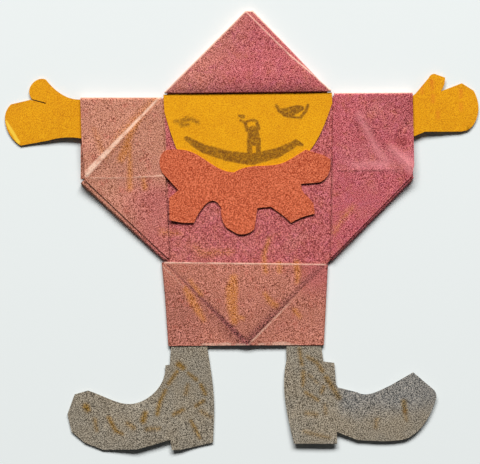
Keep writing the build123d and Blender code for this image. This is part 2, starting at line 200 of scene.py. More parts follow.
RIGHT_BOOT_LINES = (
    ((17.3, -35.6, 0.5), (18.1, -40.2, 0.6)),
    ((18.5, -42.6, 0.7), (18.4, -46.4, 0.5)),
    ((19.2, -48.6, 0.5), (22.8, -50.9, 0.5)),
    ((19.8, -38.0, 0.5), (22.7, -39.8, 0.6), (24.2, -42.2, 0.6)),
    ((25.4, -44.2, 0.8), (29.2, -50.2, 0.7)),
    ((24.6, -47.0, 0.5), (23.9, -48.6, 0.5)),
    ((48.6, -51.5, 0.9), (48.9, -54.1, 0.7)),
)
RIGHT_BOOT_FAINT = (
    ((20.2, -43.4, 0.4), (22.8, -45.8, 0.4)),
    ((19.4, -54.8, 0.7), (22.2, -55.2, 0.7)),
    ((25.0, -52.4, 0.5), (25.2, -54.8, 0.5)),
    ((18.8, -60.3, 0.5), (26.2, -62.2, 0.5)),
    ((48.9, -54.1, 0.6), (49.3, -56.7, 0.5)),
    ((40.5, -56.7, 0.7), (40.2, -59.0, 0.6)),
)

# Where the panels of the folded sheet meet: the sleeves' inner folds by x, the hat and the skirt by y.
# The left fold leans by LEFT_SEAM_LEAN for each millimetre of y. The hat's middle is by x.
LEFT_SEAM = -21.65
LEFT_SEAM_LEAN = 0.04
RIGHT_SEAM = 27.3
HAT_EDGE = 40.4
HAT_MIDDLE = 2.0
SKIRT_FOLD = -9.7

# Heights on the folded sheet: the layers up to STILL keep their place and those from FREE on can lift,
# the skirt's sides sag above SAG_FROM, and what reaches over BEND_FROM is cut into a grid to bend on.
STILL = 1.34
FREE = 1.40
SAG_FROM = 0.20
BEND_FROM = 1.3

# Where the cut pieces are held, and where the boots lift most.
COLLAR_MIDDLE = (2.0, 22.0, 0.0)
LEFT_WRIST = (-42.0, 32.0, 0.0)
RIGHT_WRIST = (46.0, 34.0, 0.0)
LEFT_LEG = (-15.0, -30.0, 0.0)
RIGHT_LEG = (22.0, -30.0, 0.0)
LEFT_INSTEP = (-27.0, -63.0, 0.0)
RIGHT_HEEL = (21.7, -65.0, 0.0)

# The right boot is bluish from here on by x, above a border by y.
BLUE_FROM = 29.0
BLUE_BORDER = -50.0

# Sheen of all papers, and noise scales in waves to a millimetre.
PAPER_SHEEN = 0.22
FIBRES = 4.0
BROAD_FIBRES = 3.6
WAX_TOOTH = 2.6

# Stage, in metres.
TABLE_REACH = 1.5
TABLE_DROP = 0.02 * MM
LAMP_LONG = 3.0
LAMP_WIDE = 1.0
LAMP_BACK = 2.30
LAMP_UP = 1.85
CAMERA_X = -0.5 * MM
CAMERA_Y = -0.55 * MM

# Mesh work: points closer than WELD are one, faces bent less than FLAT are one, and edges bent more than
# SHARP stay sharp.
WELD = 0.002 * MM
FLAT = math.radians(0.2)
SHARP = math.radians(28)

# Ways that the folded sheet springs open, each with its size in PaperSizes.
SPRINGS = ("Skirt lip", "Skirt swell", "Skirt drop", "Left ridge", "Right ridge", "Brim swell", "Brim roll",
           "Sleeve mouth", "Waves")


def paint(red, green, blue):
    """A display colour, 0 to 255, as the linear colour that a shader takes."""
    return tuple(c / 12.92 if c <= 0.04045 else ((c + 0.055) / 1.055) ** 2.4
                 for c in (red / 255, green / 255, blue / 255))


def pick(sockets, key):
    """A socket by its place, identifier or name."""
    if isinstance(key, int):
        return sockets[key]
    return next((s for s in sockets if s.identifier == key), None) or sockets[key]


class Value:
    """A node socket that adds Math nodes to its tree when it is used in an expression."""

    def __init__(self, tree, socket):
        self.tree, self.socket = tree, socket

    def node(self, kind, settings=None, sockets=None, out=0):
        """Adds any node, with its settings first and then its sockets, and gives one output."""
        added = self.tree.nodes.new(kind)
        for key, setting in (settings or {}).items():
            setattr(added, key, setting)
        for key, value in (sockets or {}).items():
            socket = pick(added.inputs, key)
            if isinstance(value, Value):
                self.tree.links.new(value.socket, socket)
            else:
                socket.default_value = value
        return Value(self.tree, pick(added.outputs, out))

    def math(self, operation, first, second, clamp=False):
        return self.node("ShaderNodeMath", {"operation": operation, "use_clamp": clamp},
                         {0: first, 1: second})

    def __add__(self, other): return self.math("ADD", self, other)
    def __radd__(self, other): return self.math("ADD", other, self)
    def __sub__(self, other): return self.math("SUBTRACT", self, other)
    def __rsub__(self, other): return self.math("SUBTRACT", other, self)
    def __mul__(self, other): return self.math("MULTIPLY", self, other)

    def vector(self, operation, first, second, out="Vector"):
        return self.node("ShaderNodeVectorMath", {"operation": operation}, {0: first, 1: second}, out)


def smooth(value, low, high):
    """0 at low, 1 at high, eased between them. Low may be the larger."""
    return value.node("ShaderNodeMapRange", {"interpolation_type": "SMOOTHSTEP"},
                      {"Value": value, "From Min": low, "From Max": high}, "Result")


def noise(place, scale, detail=2.0, roughness=0.5, out="Fac"):
    """Even noise over a place in millimetres."""
    return place.node("ShaderNodeTexNoise", {"noise_dimensions": "3D"},
                      {"Vector": place, "Scale": scale, "Detail": detail, "Roughness": roughness}, out)


def mix(factor, first, second, blend="MIX"):
    """Two colours mixed."""
    both = {"A_Color": first, "B_Color": second}
    both = {key: colour if isinstance(colour, Value) else (*colour, 1.0) for key, colour in both.items()}
    return factor.node("ShaderNodeMix", {"data_type": "RGBA", "blend_type": blend},
                       {"Factor_Float": factor, **both}, "Result_Color")


def gap_to_line(flat, line):
    """Distance in millimetres from a line of points, less the line's half width where it has one."""
    nearest = None
    for start, end in zip(line, line[1:]):
        run = (end[0] - start[0], end[1] - start[1], 0.0)
        reach = run[0] ** 2 + run[1] ** 2
        away = flat.vector("SUBTRACT", flat, (start[0], start[1], 0.0))
        share = away.vector("DOT_PRODUCT", away, tuple(c / reach for c in run), "Value")
        share = share.math("ADD", share, 0.0, clamp=True)
        foot = share.node("ShaderNodeVectorMath", {"operation": "SCALE"}, {0: run, "Scale": share}, "Vector")
        gap = away.vector("DISTANCE", away, foot, "Value")
        if len(start) > 2:
            widen = end[2] - start[2]
            gap = gap - (share * widen + start[2] if widen else start[2])
        nearest = gap if nearest is None else gap.math("MINIMUM", nearest, gap)
    return nearest


def drawn(flat, lines, edge):
    """1 on a set of drawn lines and 0 off them, with an edge of that width in millimetres."""
    nearest = None
    for line in lines:
        gap = gap_to_line(flat, line)
        nearest = gap if nearest is None else gap.math("MINIMUM", nearest, gap)
    return smooth(nearest, edge, -edge)


def height_over(flat, line):
    """Signed distance from a straight line, more on the left of its run."""
    (ax, ay), (bx, by) = line
    long = math.hypot(bx - ax, by - ay)
    normal = ((ay - by) / long, (bx - ax) / long, 0.0)
    along = flat.vector("DOT_PRODUCT", flat, normal, "Value")
    return along - (ax * normal[0] + ay * normal[1])


def over_valleys(flat):
    """Distance into the skirt's middle panel from its two valleys, less than 0 outside it."""
    first, second = (height_over(flat, line) for line in SKIRT_VALLEYS)
    return first.math("MINIMUM", first, second)


def from_skirt_foot(flat):
    """Distance from the point where the skirt's two valleys meet."""
    return flat.vector("DISTANCE", flat, (*SKIRT_FOOT, 0.0), "Value")


def shaken(flat, scale, amount):
    """A flat place moved a little by noise, so that a line drawn on it has a ragged edge."""
    push = noise(flat, scale, 2.0, 0.6, out="Color")
    push = push.vector("SUBTRACT", push, (0.5, 0.5, 0.5))
    push = push.vector("MULTIPLY", push, (amount, amount, 0.0))
    return flat.vector("ADD", flat, push)


class Places:
    """Places on a piece in millimetres, from a socket of a tree that gives them in metres."""

    def __init__(self, tree, socket):
        metres = Value(tree, socket)
        self.place = metres.node("ShaderNodeVectorMath", {"operation": "SCALE"},
                                 {0: metres, "Scale": 1 / MM}, "Vector")
        self.flat = self.place.vector("MULTIPLY", self.place, (1.0, 1.0, 0.0))
        parts = self.place.node("ShaderNodeSeparateXYZ", None, {0: self.place}).socket.node
        self.x, self.y, self.z = (Value(tree, parts.outputs[axis]) for axis in "XYZ")


class Paper(Places):
    """A paper material being made, with its shader."""

    def __init__(self, name):
        self.material = bpy.data.materials.new(name)
        self.material.use_nodes = True
        tree = self.material.node_tree
        self.shader = tree.nodes["Principled BSDF"]
        super().__init__(tree, tree.nodes.new("ShaderNodeTexCoord").outputs["Object"])

    def grain(self, scale, detail=2.0, roughness=0.6):
        return noise(self.place, scale, detail, roughness)

    def speckled(self, colour, amount, scale, shade, glint):
        """The colour with its fibres: specks of shade and of light at that noise scale."""
        specks = self.grain(scale, 2.0, 0.8)
        colour = mix(smooth(specks, 0.50, 0.42) * amount, colour, shade, "MULTIPLY")
        return mix(smooth(specks, 0.50, 0.58) * amount, colour, glint, "SCREEN")

    def finish(self, colour, roughness, depth):
        """Links the colour, an uneven matt sheen and the paper's tooth to the shader."""
        tooth = self.grain(BROAD_FIBRES, 3.0, 0.7)
        rough = self.grain(1.1) * 0.14 + (roughness - 0.07)
        bump = tooth.node("ShaderNodeBump", None,
                          {"Height": tooth, "Strength": 0.6, "Distance": depth * MM}, "Normal")
        self.shader.inputs["Specular IOR Level"].default_value = PAPER_SHEEN
        links = self.material.node_tree.links
        links.new(colour.socket, self.shader.inputs["Base Color"])
        links.new(rough.socket, self.shader.inputs["Roughness"])
        links.new(bump.socket, self.shader.inputs["Normal"])
        return self.material


def faded_and_shaded_panels(p, tones):
    """Panels of the rose sheet that faded apart, with painted shade and a painted highlight laid over some,
    and the share of the skirt at each place.
    """
    # noise moves x and y, so that no fade has a straight border
    drift = (noise(p.flat, 0.05, 3.0, 0.6) - 0.5) * 14.0
    x, y = p.x + drift, p.y + drift
    colour = mix(smooth(p.x, RIGHT_SEAM - 0.3, RIGHT_SEAM + 0.3), tones.chest, tones.right_sleeve)
    hat = smooth(p.y, HAT_EDGE - 0.2, HAT_EDGE + 0.2) * smooth(p.x, RIGHT_SEAM + 0.7, RIGHT_SEAM + 0.3)
    colour = mix(hat, colour, tones.hat)
    colour = mix(hat * smooth(x - y * 0.5, -22.0, -40.0) * 0.55, colour, tones.left_sleeve)
    left = smooth(p.x + p.y * LEFT_SEAM_LEAN, LEFT_SEAM + 0.2, LEFT_SEAM - 0.2)
    colour = mix(left, colour, tones.left_sleeve)
    colour = mix(left * smooth(y, 20.0, 9.0) * smooth(x, -40.0, -26.0) * 0.75, colour, tones.chest)
    colour = mix(smooth(y, 4.0, -8.0) * smooth(x, 4.0, -18.0) * (1.0 - left) * 0.4, colour, tones.skirt)
    skirt = smooth(p.y, SKIRT_FOLD + 0.3, SKIRT_FOLD - 0.3)
    colour = mix(skirt, colour, tones.skirt)
    colour = mix(skirt * smooth(x, 12.0, 22.0) * smooth(y, -24.0, -12.0) * 0.8, colour, tones.chest)
    # painted shade on the skirt's left panel beside its left fold
    colour = mix(skirt * smooth(x, -9.0, -16.0) * smooth(y, -14.0, -21.0) * 0.26, colour, tones.painted_shade)
    # right sleeve: painted shade at the top, and a painted highlight brightening it down to its middle crease
    right = smooth(p.x, 27.4, 30.0)
    colour = mix(right * smooth(y, 27.0, 33.0) * smooth(x, 30.0, 38.0) * 0.25, colour, tones.painted_shade)
    colour = mix(right * smooth(y, 28.0, 23.0) * smooth(p.y, 17.7, 18.3) * 0.15, colour, tones.soft_highlight)
    # patches of stronger fading, of rust and of blush
    patches = noise(p.flat, 0.09, 4.0, 0.65)
    colour = mix(smooth(patches, 0.50, 0.72) * 0.35, colour, tones.faded)
    cloud = noise(p.flat, 0.30, 4.0, 0.8)
    colour = mix(smooth(cloud, 0.52, 0.66) * 0.60, colour, tones.rust)
    colour = mix(smooth(cloud, 0.48, 0.34) * 0.60 * (1.0 - left) * (1.0 - skirt), colour, tones.blush)
    colour = mix(drawn(shaken(p.flat, 0.8, 1.0), RED_SPOTS, 1.1) * 0.90, colour, tones.red)
    # painted shade along the hat's brim, which rolls away from the lamp
    return mix(hat * smooth(p.y, HAT_EDGE + 3.2, HAT_EDGE + 0.8) * 0.45, colour, tones.painted_shade), skirt


def crayoned(p, colour, tooth, tones):
    """Crayon dragged over the tooth of the paper."""
    ragged = shaken(p.flat, 1.6, 0.9)
    wax = drawn(ragged, CRAYON, 0.90) * (smooth(tooth, 0.32, 0.60) * 0.42 + 0.55)
    colour = mix(wax, colour, tones.crayon)
    wax = drawn(ragged, FAINT_CRAYON, 1.2) * smooth(tooth, 0.34, 0.60) * 0.70
    return mix(wax, colour, tones.crayon)


def painted_crease_shade(p, colour, skirt, tones):
    """Painted shade in the skirt's V folds and painted shadow lines along edges, and the share of light on
    the crease beside the skirt's right fold.
    """
    flat = shaken(p.flat, 0.7, 0.4)
    west, east = (height_over(flat, line) for line in SKIRT_VALLEYS)
    depth = smooth(from_skirt_foot(p.flat), 33.0, 3.0)
    panel = smooth(p.z, 0.8, 0.9) * skirt
    gap = west.math("ABSOLUTE", west, 0.0)
    # painted shade down the skirt's left fold: a dark core on the crease and a soft spread onto the left
    # panel
    core = smooth(gap, depth * 0.9 + 0.45, depth * 0.3) * (depth * 0.45 + 0.50)
    soft = smooth(west, depth * -4.5 - 1.0, 0.0) * smooth(west, 0.4, 0.0) * depth * 0.40
    colour = mix(core.math("MAXIMUM", core, soft) * panel, colour, tones.painted_shade)
    # painted shade on the middle panel's side of the skirt's right fold
    band = smooth(east, depth * 1.2 + 2.0, 0.2) * smooth(east, -0.15, 0.10) * (depth * 0.55 + 0.25)
    colour = mix(band * panel, colour, tones.painted_shade)
    # painted shadow lines at the sleeves' inner edges, beside the face and under the right sleeve's crease
    colour = mix(drawn(p.flat, PAINTED_SHADOWS, 0.32) * 0.65, colour, tones.painted_shade)
    # painted shade beside the upper end of the right fold
    colour = mix(drawn(p.flat, SKIRT_SHADE, 1.9) * 0.45, colour, tones.painted_shade)
    # painted highlight just outside the right fold's crease
    lit = smooth(east, -0.8, -0.4) * smooth(east, 0.05, -0.2) * depth * panel * smooth(depth, 0.25, 0.70)
    return colour, lit


def rubbed_and_lit(p, colour, tooth, lit, tones):
    """Folds chafed pale, and the painted highlights on lit edges, lit folds, the right sleeve's ridge and the
    crease beside the skirt's right fold.
    """
    bent = shaken(p.flat, 0.45, 0.5)
    # breaks up the chafed paleness and the painted highlights on the paper's tooth
    patchy = smooth(tooth, 0.26, 0.54) * smooth(p.grain(0.35, 2.0), 0.25, 0.55)
    front = smooth(p.z, 1.2, 1.5)
    # painted highlight on the lit side of the right sleeve's ridge and above its crease
    colour = mix(drawn(bent, SOFT_HIGHLIGHTS, 1.6) * (patchy * 0.45 + 0.26) * front, colour, tones.soft_highlight)
    # folds chafed pale, painted paler as a highlight where they face the lamp
    colour = mix(drawn(p.flat, RUBBED_LIT_FOLDS, 0.32) * (patchy * 0.62 + 0.18) * front, colour, tones.rubbed_and_lit)
    # painted highlight along edges that face the lamp
    colour = mix(drawn(p.flat, LIT_EDGES, 0.25) * (patchy * 0.3 + 0.6), colour, tones.rubbed_and_lit)
    # faint chafed creases, and painted highlight along the skirt's lower lip
    colour = mix(drawn(bent, FAINT_RUBS_AND_HIGHLIGHTS, 0.28) * patchy * 0.50, colour, tones.rubbed_and_lit)
    # painted highlight on the crease beside the skirt's right fold
    return mix(lit * patchy * 0.45, colour, tones.rubbed_and_lit)


def rose_sheet(tones):
    """Faded rose folding paper with crayon, painted shade in its creases, painted shadows along edges, and
    folds chafed pale with painted highlights.
    """
    p = Paper("faded_rose_sheet")
    tooth = p.grain(WAX_TOOTH, 2.0, 0.7)
    colour, skirt = faded_and_shaded_panels(p, tones)
    colour = crayoned(p, colour, tooth, tones)
    colour, lit = painted_crease_shade(p, colour, skirt, tones)
    colour = p.speckled(colour, 1.0, FIBRES, tones.rose_shade, tones.rose_glint)
    colour = rubbed_and_lit(p, colour, tooth, lit, tones)
    return p.finish(colour, 0.86, 0.08)


def yellow_paper(name, tones, marks, ink, edge, strength, faint=(), lit=(), dirt=0.0):
    """Golden yellow paper with marks drawn on it."""
    p = Paper(name)
    patches = noise(p.flat, 0.12, 3.0, 0.6)
    colour = mix(smooth(patches, 0.35, 0.70) * 0.6 + dirt, tones.yellow, tones.yellow_deep)
    ragged = shaken(p.flat, 1.4, 0.55)
    soak = p.grain(1.3, 3.0, 0.7)
    mark = drawn(ragged, marks, edge) * (smooth(soak, 0.36, 0.60) * 0.35 + 0.65)
    colour = mix(mark * strength, colour, ink)
    if faint:
        colour = mix(drawn(ragged, faint, 0.6) * smooth(soak, 0.26, 0.58) * 0.75, colour, ink)
    colour = p.speckled(colour, 0.75, BROAD_FIBRES, tones.yellow_shade, tones.yellow_glint)
    if lit:
        colour = mix(drawn(shaken(p.flat, 0.7, 0.5), lit, 0.25) * 0.8, colour, tones.yellow_lit)
    return p.finish(colour, 0.84, 0.05)


def orange_paper(tones):
    """Orange-red paper with an even grain."""
    p = Paper("orange_collar_paper")
    patches = noise(p.flat, 0.10, 3.0, 0.6)
    colour = mix(smooth(patches, 0.35, 0.70) * 0.35, tones.orange, tones.orange_deep)
    colour = p.speckled(colour, 1.0, FIBRES, tones.orange_shade, tones.orange_glint)
    return p.finish(colour, 0.86, 0.08)


def grey_paper(name, tones, lines, faint, press, bluish):
    """Grey flecked paper with ochre pencil lines, pressed on that hard."""
    p = Paper(name)
    patches = noise(p.flat, 0.08, 3.0, 0.6)
    colour = mix(smooth(patches, 0.35, 0.65), tones.grey, tones.grey_cool)
    if bluish:
        upper = smooth(p.y + patches * 10.0, BLUE_BORDER - 4.5, BLUE_BORDER + 4.5)
        upper = smooth(p.x, BLUE_FROM - 2.0, BLUE_FROM + 3.0) * upper
        colour = mix(upper * 0.8, colour, tones.grey_blue)
    colour = p.speckled(colour, 1.0, BROAD_FIBRES, tones.grey_shade, tones.grey_glint)
    tooth = p.grain(WAX_TOOTH, 2.0, 0.7)
    ragged = shaken(p.flat, 1.6, 0.8)
    pencil = drawn(ragged, lines, 0.75) * (smooth(tooth, 0.32, 0.58) * 0.35 + 0.60) * press
    colour = mix(pencil, colour, tones.ochre, "MULTIPLY")
    pencil = drawn(ragged, faint, 0.80) * (smooth(tooth, 0.34, 0.60) * 0.40 + 0.35) * press
    colour = mix(pencil, colour, tones.ochre, "MULTIPLY")
    return p.finish(colour, 0.88, 0.08)


class NodeTree(Places):
    """A Geometry Nodes tree with named inputs that moves a mesh's points and gives it its paper."""

    def __init__(self, name, inputs):
        self.group = bpy.data.node_groups.new(name, "GeometryNodeTree")
        face = self.group.interface
        face.new_socket("Geometry", in_out="INPUT", socket_type="NodeSocketGeometry")
        face.new_socket("Geometry", in_out="OUTPUT", socket_type="NodeSocketGeometry")
        self.keys = {}
        for label, kind in {**inputs, "Paper": "NodeSocketMaterial"}.items():
            self.keys[label] = face.new_socket(label, in_out="INPUT", socket_type=kind).identifier
        self.entry = self.group.nodes.new("NodeGroupInput")
        self.values = {label: Value(self.group, pick(self.entry.outputs, key))
                       for label, key in self.keys.items()}
        super().__init__(self.group, self.group.nodes.new("GeometryNodeInputPosition").outputs[0])

    def raise_by(self, lift):
        """Ends the tree: points go up by lift, in metres, and the sheet takes its paper."""
        start = Value(self.group, self.entry.outputs["Geometry"])
        offset = lift.node("ShaderNodeCombineXYZ", None, {"Z": lift})
        moved = start.node("GeometryNodeSetPosition", None, {"Geometry": start, "Offset": offset})
        whole = moved.node("GeometryNodeRealizeInstances", None, {"Geometry": moved})
        dressed = whole.node("GeometryNodeSetMaterial", None,
                             {"Geometry": whole, "Material": self.values["Paper"]})
        end = self.group.nodes.new("NodeGroupOutput")
        self.group.links.new(dressed.socket, end.inputs["Geometry"])

    def apply(self, piece, settings):
        """Runs the tree on a piece and leaves a plain mesh."""
        run = piece.modifiers.new(self.group.name, "NODES")
        run.node_group = self.group
        for label, setting in settings.items():
            run[self.keys[label]] = setting
        evaluated = piece.evaluated_get(bpy.context.evaluated_depsgraph_get())
        shape = bpy.data.meshes.new_from_object(evaluated)
        piece.modifiers.remove(run)
        piece.data = shape
        shape.shade_smooth()
        shape.set_sharp_from_angle(angle=SHARP)


def spring_tree():
    """How the folded sheet springs open at the skirt, the sleeves and the hat's brim."""
    t = NodeTree("sheet_spring", {label: "NodeSocketFloat" for label in SPRINGS})
    v = t.values
    free = t.z.math("MULTIPLY", t.z - STILL, 1 / (FREE - STILL), clamp=True)
    # skirt: the middle panel bulges over its two valleys, its lip lifts and its sides sag onto the legs
    inside = over_valleys(t.flat)
    from_foot = from_skirt_foot(t.flat)
    near = smooth(from_foot, 34.0, 7.0)
    lift = smooth(from_foot, 15.0, 1.0) * v["Skirt lip"]
    lift = lift + smooth(inside, 0.0, 7.0) * v["Skirt swell"] * near
    lift = lift * smooth(t.y, SKIRT_FOLD - 0.8, SKIRT_FOLD - 4.3)
    squash = t.z.math("MULTIPLY", t.z - SAG_FROM, 1 / (FREE - SAG_FROM), clamp=True)
    drop = smooth(inside, 0.2, -2.0) * smooth(t.y, -14.0, -31.0) * squash * v["Skirt drop"]
    # sleeves: a sharp ridge on the left, a soft one on the right, and open mouths
    slope = 9.0  # from the ridge down to the flat sleeve
    ridge = gap_to_line(t.flat, LEFT_SLEEVE_RIDGE)
    inner = smooth(t.x, -24.0, -31.0)
    lift = lift + (1.0 - ridge.math("MULTIPLY", ridge, 1 / slope, clamp=True)) * inner * v["Left ridge"]
    soft = gap_to_line(t.flat, RIGHT_SLEEVE_RIDGE)
    lift = lift + smooth(soft, 7.0, 0.0) * smooth(t.x, 29.0, 34.0) * v["Right ridge"]
    mouths = smooth(t.x, -40.0, -48.5) + smooth(t.x, 44.0, 51.5)
    lift = lift + mouths * v["Sleeve mouth"]
    # hat: the brim swells, then rolls down at its edge
    across = t.x.math("ABSOLUTE", t.x - HAT_MIDDLE, 0.0)
    brim = smooth(across, 24.0, 15.0) * smooth(t.y, HAT_EDGE - 0.4, HAT_EDGE + 1.0)
    swell = smooth(t.y, HAT_EDGE + 13.6, HAT_EDGE + 4.1) * v["Brim swell"]
    roll = smooth(t.y, HAT_EDGE + 3.4, HAT_EDGE + 1.0) * v["Brim roll"]
    lift = lift + (swell - roll) * brim
    waves = smooth(noise(t.flat, 0.06, 1.0, 0.4), 0.25, 0.75) * smooth(across, 24.0, 32.0) * v["Waves"]
    t.raise_by(((lift + waves) * free - drop) * MM)
    return t


def curl_tree():
    """How a cut piece bends away from where it is held, with a few slow waves and one lifted spot."""
    length, spot = "NodeSocketFloat", "NodeSocketVector"
    t = NodeTree("card_curl", {"Held at": spot, "Held reach": length, "Free reach": length, "Curl": length,
                               "Waves": length, "Lifted at": spot, "Lift": length})
    v = t.values
    away = t.flat.vector("DISTANCE", t.flat, v["Held at"], "Value")
    free = smooth(away, v["Held reach"], v["Free reach"])
    waves = smooth(noise(t.flat, 0.09, 1.0, 0.4), 0.25, 0.75)
    rise = smooth(t.flat.vector("DISTANCE", t.flat, v["Lifted at"], "Value"), 15.0, 3.0) * v["Lift"]
    t.raise_by((free * v["Curl"] + free * waves * v["Waves"] + rise) * MM)
    return t


def sheet_copy(node, step, above):
    """A copy of a CAD sheet with its points merged, cut into a grid where it can bend."""
    source = frame["nodes"][node]
    shape = bmesh.new()
    shape.from_mesh(source.data)
    shape.transform(source.matrix_world)
    bmesh.ops.remove_doubles(shape, verts=shape.verts, dist=WELD)
    bmesh.ops.dissolve_limit(shape, angle_limit=FLAT, verts=shape.verts, edges=shape.edges)
    low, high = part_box(node)
    for axis in (0, 1):
        faces = [f for f in shape.faces if max(v.co.z for v in f.verts) > above]
        edges = {e for f in faces for e in f.edges}
        verts = {v for f in faces for v in f.verts}
        geometry = [*verts, *edges, *faces]
        cuts = math.ceil((high[axis] - low[axis]) / step)
        for cut in range(1, cuts):
            point, normal = [0.0, 0.0, 0.0], [0.0, 0.0, 0.0]
            point[axis] = low[axis] + (high[axis] - low[axis]) * cut / cuts
            normal[axis] = 1.0
            geometry = bmesh.ops.bisect_plane(shape, geom=geometry, dist=WELD,
                                              plane_co=point, plane_no=normal)["geom"]
    bmesh.ops.triangulate(shape, faces=shape.faces)
    bmesh.ops.dissolve_degenerate(shape, dist=WELD / 4, edges=shape.edges)
    if not shape.faces:
        raise RuntimeError(f"{node} has no faces")
    mesh = bpy.data.meshes.new(f"{node}_sheet")
    shape.to_mesh(mesh)
    shape.free()
    piece = bpy.data.objects.new(f"{node}_paper", mesh)
    bpy.context.scene.collection.objects.link(piece)
    return piece


def hand_over(piece, node):
    """The piece stands for its CAD node."""
    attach(piece, "root")
    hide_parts(node)


def cut_piece(node, step, settings):
    """Makes a cut piece from its CAD sheet, bends it, gives it its paper and hands it over."""
    piece = sheet_copy(node, step * MM, 0.0)
    curl_tree().apply(piece, settings)
    hand_over(piece, node)


class PaperSizes(bpy.types.PropertyGroup):
    """Sizes that a user would change, in millimetres."""
    body_step: FloatProperty(name="Body grid", description="Grid that the folded sheet bends on",
                             default=2.5, min=1.0)
    card_step: FloatProperty(name="Card grid", description="Grid that a cut piece bends on",
                             default=2.0, min=0.5)
    skirt_lip: FloatProperty(name="Skirt lip", description="Lift of the skirt's lip at its middle",
                             default=0.1, min=0.0)
    skirt_swell: FloatProperty(name="Skirt swell", description="Bulge of the skirt's middle panel",
                               default=0.6, min=0.0)
    skirt_drop: FloatProperty(name="Skirt drop", description="Sag of the skirt's side panels over the legs",
                              default=0.38, min=0.0, max=0.45)
    left_ridge: FloatProperty(name="Left ridge", description="Height of the left sleeve's ridge",
                              default=0.6, min=0.0)
    right_ridge: FloatProperty(name="Right ridge", description="Height of the right sleeve's ridge",
                               default=0.5, min=0.0)
    brim_swell: FloatProperty(name="Brim swell", description="Rise of the hat above its brim",
                              default=0.7, min=0.0)
    brim_roll: FloatProperty(name="Brim roll", description="Drop of the brim at its edge",
                             default=0.6, min=0.0)
    sleeve_mouth: FloatProperty(name="Sleeve mouth", description="Opening of the sleeves' ends",
                                default=0.4, min=0.0)
    waves: FloatProperty(name="Waves", description="Slow waves of the sleeves", default=0.3, min=0.0)
    hand_droop: FloatProperty(name="Hand droop", description="Drop of the hands' fingertips",
                              default=1.2, min=0.0, max=1.3)
    boot_droop: FloatProperty(name="Boot droop", description="Drop of the left boot",
                              default=0.3, min=0.0, max=0.4)
    boot_rise: FloatProperty(name="Boot rise", description="Rise of the right boot", default=0.15, min=0.0)
    instep_lift: FloatProperty(name="Instep lift", description="Lift of the left instep",
                               default=0.9, min=0.0)
    heel_lift: FloatProperty(name="Heel lift", description="Lift of the right heel", default=0.6, min=0.0)
    collar_curl: FloatProperty(name="Collar curl", description="Lift of the collar's lobes",
                               default=0.12, min=0.0)


def tint(label, about, red, green, blue):
    """A colour property from a display colour."""
    return FloatVectorProperty(name=label, description=about, subtype="COLOR", size=3, min=0.0, max=1.0,
                               default=paint(red, green, blue))


class PaperTones(bpy.types.PropertyGroup):
    """Colours of the papers, of what is drawn on them, and of the painted shade and highlights."""
    hat: tint("Hat", "Rose of the hat", 194, 84, 90)
    chest: tint("Chest", "Rose of the chest", 190, 84, 86)
    left_sleeve: tint("Left sleeve", "Browner rose of the left sleeve", 204, 137, 104)
    right_sleeve: tint("Right sleeve", "Rose of the right sleeve", 196, 79, 91)
    skirt: tint("Skirt", "Salmon of the skirt", 190, 116, 88)
    faded: tint("Faded", "Rose that the light has bleached", 206, 130, 112)
    rust: tint("Rust", "Rose gone towards rust", 190, 92, 64)
    blush: tint("Blush", "Rose that kept its blush", 192, 82, 108)
    rose_shade: tint("Rose, shade", "Shade in the rose grain", 116, 62, 66)
    rose_glint: tint("Rose, glint", "Light on the rose grain", 208, 120, 116)
    # Painted highlight: pale pink on the lit side of the right sleeve's ridge and above its middle crease.
    soft_highlight: tint("Bloom", "Pink bloom beside a fold", 236, 150, 152)
    red: tint("Red", "Spots that kept their colour", 142, 22, 34)
    # Pale rose of folds chafed by handling, and also of the painted highlights on lit edges and lit folds.
    rubbed_and_lit: tint("Rubbed", "Rose rubbed pale on a fold", 252, 214, 190)
    # Painted shade: the dark tone of the shade painted into the skirt's V folds, along the hat's brim, at the
    # right sleeve's top and along the painted shadow lines.
    painted_shade: tint("Valley", "Dirt in a valley fold", 64, 24, 22)
    crayon: tint("Crayon", "Orange wax crayon", 216, 130, 24)
    yellow: tint("Yellow", "Golden yellow paper", 240, 165, 0)
    yellow_deep: tint("Yellow, deep", "Golden yellow that is dirtier", 228, 150, 0)
    yellow_shade: tint("Yellow, shade", "Shade in the yellow grain", 204, 184, 110)
    yellow_glint: tint("Yellow, glint", "Light on the yellow grain", 150, 108, 24)
    yellow_lit: tint("Yellow, lit", "Turned-up edge of a hand", 255, 214, 70)
    felt: tint("Felt-tip", "Brown felt-tip on yellow paper", 112, 64, 10)
    smudge: tint("Smudge", "Orange smudge on a hand", 226, 120, 26)
    orange: tint("Orange", "Orange-red paper", 212, 97, 58)
    orange_deep: tint("Orange, deep", "Orange-red that is dirtier", 194, 84, 48)
    orange_shade: tint("Orange, shade", "Shade in the orange grain", 160, 98, 62)
    orange_glint: tint("Orange, glint", "Light on the orange grain", 208, 104, 78)
    grey: tint("Grey", "Grey paper", 138, 125, 105)
    grey_cool: tint("Grey, cool", "Cooler grey", 132, 124, 110)
    grey_blue: tint("Grey, blue", "Bluish grey of the right boot's upper", 112, 116, 120)
    grey_shade: tint("Grey, shade", "Dark flecks", 104, 98, 90)
    grey_glint: tint("Grey, glint", "Pale flecks", 160, 148, 130)
    ochre: tint("Ochre", "Ochre pencil", 230, 184, 50)
    table: tint("Table", "Pale table top", 234, 239, 238)


class StageSizes(bpy.types.PropertyGroup):
    """Camera and light."""
    camera_height: FloatProperty(name="Camera height", description="Camera above the figure",
                                 default=0.800, unit="LENGTH")
    lens: FloatProperty(name="Lens", description="Focal length in millimetres", default=200.0, min=20.0)
    lamp_power: FloatProperty(name="Lamp power", description="Power of the long lamp", default=154.0, min=0.0)
    fill: FloatProperty(name="Fill", description="Strength of the even light from all round",
                        default=0.04, min=0.0)


